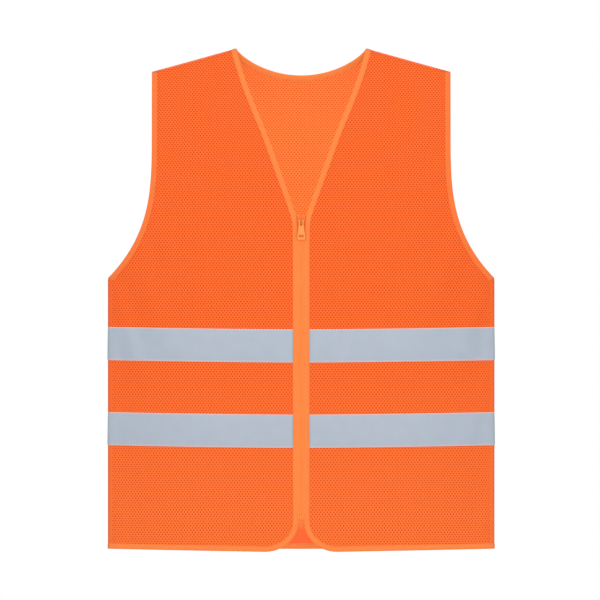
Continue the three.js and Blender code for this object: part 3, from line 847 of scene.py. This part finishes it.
def bindings(edge_tape, armhole_tape, sewing):
    """Folded tapes along every raw edge, each with its line of stitches."""
    sewn = BINDING_WIDTH - STITCH_INSET
    lift = 0.72 * BINDING_HALF
    section = binding_section()
    made = {}

    def bound(name, tracks, nodes, material):
        strips = [sweep(name, track, section, material) for track in tracks]
        tape = joined(name, strips)
        rows = [row for track in tracks for row in sewn_rows(track, sewn, lift)]
        seam = stitches(name + "_stitches", rows, sewing)
        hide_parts(*nodes)
        made[name] = [tape, seam]

    bound("back_neck_tape", [Track(BACK, back_neck_path())], ["back_neck_binding"], edge_tape)
    bound("back_hem_tape", [Track(BACK, back_hem_path())], ["back_hem_binding"], edge_tape)
    for name, side in SIDES.items():
        edge = [Track(FRONT, front_edge_path(), side)]
        nodes = [f"{name}_{part}_binding" for part in ("upper_neck", "flap", "side_hem")]
        bound(name + "_front_edge_tape", edge, nodes, edge_tape)
        arm = [Track(face, armhole_path(), side) for face in (FRONT, BACK)]
        bound(name + "_armhole_tape", arm, [name + "_armhole_binding"], armhole_tape)
    for name, objs in made.items():
        for obj in objs:
            if name.endswith("front_edge_tape"):
                bend(obj, name.split("_")[0])
            else:
                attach(obj, "shell")
    return made


def joined(name, objs):
    first = objs[0]
    if len(objs) > 1:
        with bpy.context.temp_override(active_object=first, selected_editable_objects=objs):
            bpy.ops.object.join()
    first.name = first.data.name = name
    return first


def band_section():
    """A flat tape between two stitch lines, lying a little proud between them."""
    half, low, thick = BAND_WIDTH / 2, BAND_LAYER, BAND_THICK
    sewn = half - BAND_SEW_INSET
    top = [(-half, 0.6), (-sewn - MM, 0.95), (-sewn, 0.55), (-sewn + MM, 1.0), (-0.5 * half, 1.45)]
    over = top + [(0, 1.5)] + [(-e, rise) for e, rise in reversed(top)]
    outside = [(e, low + rise * thick) for e, rise in over]
    inside = [(e, low + (rise - 1) * thick) for e, rise in reversed(over[1:-1])]
    return outside + [(half, low - 0.3 * thick)] + inside + [(-half, low - 0.3 * thick)]


def bands(material, sewing):
    """Reflective tapes, stitched along both edges."""
    half = BAND_WIDTH / 2
    sewn, sewn_layer = half - BAND_SEW_INSET, BAND_LAYER + 0.7 * BAND_THICK
    section = band_section()
    made = []
    inner_x = EDGE_X + BINDING_WIDTH - BAND_TUCK
    for level, top in (("upper", UPPER_BAND_TOP_Z), ("lower", LOWER_BAND_TOP_Z)):
        middle = top - half
        spans = [("back", BACK, 1, -HALF_WIDTH, HALF_WIDTH)]
        spans += [(name, FRONT, side, inner_x, HALF_WIDTH) for name, side in SIDES.items()]
        for name, face, side, start, end in spans:
            x = np.linspace(start, end, 80)
            lift = BAND_LIFT * (np.abs(x) / HALF_WIDTH) ** 1.5
            track = Track(face, np.stack([x, middle + lift], -1), side)
            tape = sweep(f"{name}_{level}_reflective_tape", track, section, material)
            centre_uv(tape, section)
            rows = [(track, 0, track.length, e, sewn_layer) for e in (-sewn, sewn)]
            seam = stitches(f"{name}_{level}_reflective_stitches", rows, sewing)
            if name == "back":
                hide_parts(f"{level}_band_back")
                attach(tape, "shell")
                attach(seam, "shell")
            else:
                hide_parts(f"{name}_{level}_band_side", f"{name}_{level}_band_flap")
                bend(tape, name)
                bend(seam, name)
            made.append((name, [tape, seam]))
    return made


def centre_uv(obj, section):
    """Makes v the distance from the middle of the band, for its pale edges."""
    e = np.array([place[0] for place in section])
    vertex = np.zeros(len(obj.data.loops), np.int32)
    obj.data.loops.foreach_get("vertex_index", vertex)
    uv = np.zeros(2 * len(vertex), np.float32)
    layer = obj.data.uv_layers["UVMap"].data
    layer.foreach_get("uv", uv)
    uv = uv.reshape(-1, 2)
    uv[:, 1] = e[vertex % len(section)]
    layer.foreach_set("uv", uv.ravel())


# ---------------------------------------------------------------- zip


def softened(name, node, width, material, body, segments=3):
    """A copy of a CAD piece with its edges rounded."""
    obj = bpy.data.objects.new(name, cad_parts[node].data.copy())
    obj.data.name = name
    scene.collection.objects.link(obj)
    obj.data.materials.clear()
    obj.data.materials.append(material)
    mesh = bmesh.new()
    mesh.from_mesh(obj.data)
    bmesh.ops.remove_doubles(mesh, verts=mesh.verts, dist=1e-6)
    bmesh.ops.dissolve_limit(mesh, angle_limit=0.02, verts=mesh.verts, edges=mesh.edges)
    mesh.to_mesh(obj.data)
    mesh.free()
    bevel = obj.modifiers.new("round", "BEVEL")
    bevel.width = width
    bevel.segments = segments
    bevel.limit_method = "ANGLE"
    bevel.angle_limit = math.radians(25)
    with bpy.context.temp_override(object=obj, active_object=obj, selected_objects=[obj]):
        bpy.ops.object.modifier_apply(modifier=bevel.name)
    obj.data.polygons.foreach_set("use_smooth", [True] * len(obj.data.polygons))
    obj.data.set_sharp_from_angle(angle=math.radians(50))
    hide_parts(node)
    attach(obj, body)


def tube(name, points, radius, sides, material):
    """A round wire along a line of points."""
    points = np.asarray(points, float)
    tangent = np.gradient(points, axis=0)
    tangent /= np.linalg.norm(tangent, axis=1)[:, None]
    up = np.cross(tangent, (0.05, 0.02, 1.0))
    up /= np.linalg.norm(up, axis=1)[:, None]
    other = np.cross(tangent, up)
    turn = np.linspace(0, 2 * np.pi, sides, endpoint=False)
    ring = np.cos(turn)[None, :, None] * up[:, None] + np.sin(turn)[None, :, None] * other[:, None]
    placed = (points[:, None] + radius * ring).reshape(-1, 3)
    obj = new_piece(name, placed, ring_faces(len(points), sides), None, material)
    face_outwards(obj)
    return obj


COIL_PITCH = 1.2 * MM


def coil(name, side, material):
    """A nylon coil: close, flattened turns whose heads reach past the centre line."""
    low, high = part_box(name + "_zip_coil")
    middle_x, reach, rise, wire_radius = 1.40 * MM, 1.12 * MM, 0.5 * MM, 0.55 * MM
    turns = int((high.z - low.z) / COIL_PITCH) - 1
    a = np.linspace(0, 2 * np.pi * turns, 12 * turns)
    start = low.z + COIL_PITCH * (0.5 if side > 0 else 1.0)
    x = side * (middle_x - reach * np.cos(a))
    y = -CENTRE_Y - rise * np.sin(a)
    points = np.stack([x, y, start + COIL_PITCH * a / (2 * np.pi)], -1)
    obj = tube(name + "_coil", points, wire_radius, 6, material)
    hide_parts(name + "_zip_coil")
    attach(obj, name + "_flap")


# Half a zip tape from its inner edge outwards, in mm: distance from the centre line, and layer.
# The corded edge fills the slit between the coil and the binding.
TAPE_PROFILE = [
    (2.0, -1.9), (2.2, -1.65), (2.9, -1.5), (2.98, -0.9), (3.0, 0.1), (3.15, 0.6), (3.5, 0.85),
    (4.2, 0.9), (4.6, 0.7), (4.7, 0.2), (4.75, -0.9), (4.9, -1.55), (14.2, -1.6), (15.0, -1.9),
]  # fmt: skip
TAPE_BACK = -2.2


def zip_tape(name, side, material):
    """Woven tape with a corded edge beside the coil."""
    low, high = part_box(name + "_zip_tape")
    loop = TAPE_PROFILE + [(x, TAPE_BACK) for x, _ in reversed(TAPE_PROFILE)]
    levels = np.linspace(low.z, high.z, 120)
    size = len(loop)
    points = [(side * x * MM, -CENTRE_Y - layer * MM, z) for z in levels for x, layer in loop]
    uvs = [(z, x * MM) for z in levels for x, _ in loop]
    obj = new_piece(name + "_woven_zip_tape", points, ring_faces(len(levels), size), uvs, material)
    face_outwards(obj)
    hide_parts(name + "_zip_tape")
    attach(obj, name + "_flap")


def zip_parts(tape, nylon, clasp, film, metal, pull_metal):
    for name, side in SIDES.items():
        zip_tape(name, side, tape)
        coil(name, side, nylon)
        body = name + "_flap"
        softened(name + "_top_stop", name + "_zip_top_stop", 0.5 * MM, metal, body)
        softened(name + "_end_film", name + "_zip_end_film", 0.12 * MM, film, body, 2)
    softened("retainer_box", "zip_retainer_box", 0.45 * MM, clasp, "left_flap")
    softened("retainer_pin", "zip_retainer_pin", 0.3 * MM, nylon, "left_flap")
    softened("insertion_pin", "zip_insertion_pin", 0.3 * MM, nylon, "right_flap")
    softened("slider_body", "zip_slider_body", 0.4 * MM, metal, "slider")
    softened("slider_bridge", "zip_slider_bridge", 0.35 * MM, metal, "slider")
    softened("slider_spring", "zip_slider_lock_spring", 0.1 * MM, metal, "slider", 2)
    softened("pull_tab", "zip_pull_tab", 0.35 * MM, pull_metal, "pull")


# ---------------------------------------------------------------- everything together

make_camera()
make_light()
make_floor()

mesh_material = mesh_fabric("mesh_fabric", ORANGE, ORANGE_DARK, 0)
# Inside of the back panel: a paler orange and a painted glow, painted light for the shaded inside of
# the vest.
inside_material = mesh_fabric("mesh_fabric_inside", INSIDE_ORANGE, INSIDE_DARK, PLAIN_HEM_HEIGHT, PAINTED_GLOW)
binding_material = woven("binding_tape", BINDING_ORANGE, BINDING_DARK, BINDING_RIB)
armhole_material = woven("armhole_tape", ARMHOLE_ORANGE, ARMHOLE_DARK, BINDING_RIB)
# The zip tape is a paler orange than the binding: painted light against the shade in the slit between
# the bindings.
zip_tape_material = woven("zip_tape", lit(1.0, 0.30, 0.075), lit(1.0, 0.24, 0.055), 0.6 * MM, PAINTED_GLOW)
reflective_material = reflective()
orange_thread = thread("orange_thread", BINDING_ORANGE)
seam_thread = thread("seam_thread", ORANGE)
pale_thread = thread("pale_thread", (0.75, 0.62, 0.58))
# The nylon is a paler orange than the binding: painted light against the shade between the coil
# turns.
nylon_material = moulded("nylon", lit(1.08, 0.31, 0.07), 0.42, 0.7 * PAINTED_GLOW)
clasp_material = moulded("moulded_clasp", lit(0.98, 0.20, 0.045), 0.5)
film_material = moulded("clear_film", lit(1.0, 0.26, 0.065), 0.3)
slider_material = painted("slider_paint", lit(0.94, 0.18, 0.030))
pull_material = painted("pull_paint", lit(1.0, 0.32, 0.075))

chance = np.random.default_rng(11)
HUNG.update({face: hang(face, chance) for face in (FRONT, BACK)})
fronts = dict(front_panels(mesh_material))
back = back_panel(mesh_material, inside_material)
binding_pieces = bindings(binding_material, armhole_material, orange_thread)
band_pieces = bands(reflective_material, pale_thread)
zip_parts(
    zip_tape_material, nylon_material, clasp_material, film_material, slider_material, pull_material
)
for name in SIDES:
    for seam in ("side", "shoulder"):
        allowance, node = f"{name}_{seam}_allowance", f"{name}_{seam}_seam"
        softened(allowance, node, 0.5 * MM, seam_thread, "shell")

for name, obj in fronts.items():
    trims = binding_pieces[name + "_front_edge_tape"]
    trims = trims + [piece for owner, pieces in band_pieces if owner == name for piece in pieces]
    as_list(trims)
trims = binding_pieces["back_neck_tape"] + binding_pieces["back_hem_tape"]
trims = trims + [piece for owner, pieces in band_pieces if owner == "back" for piece in pieces]
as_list(trims)
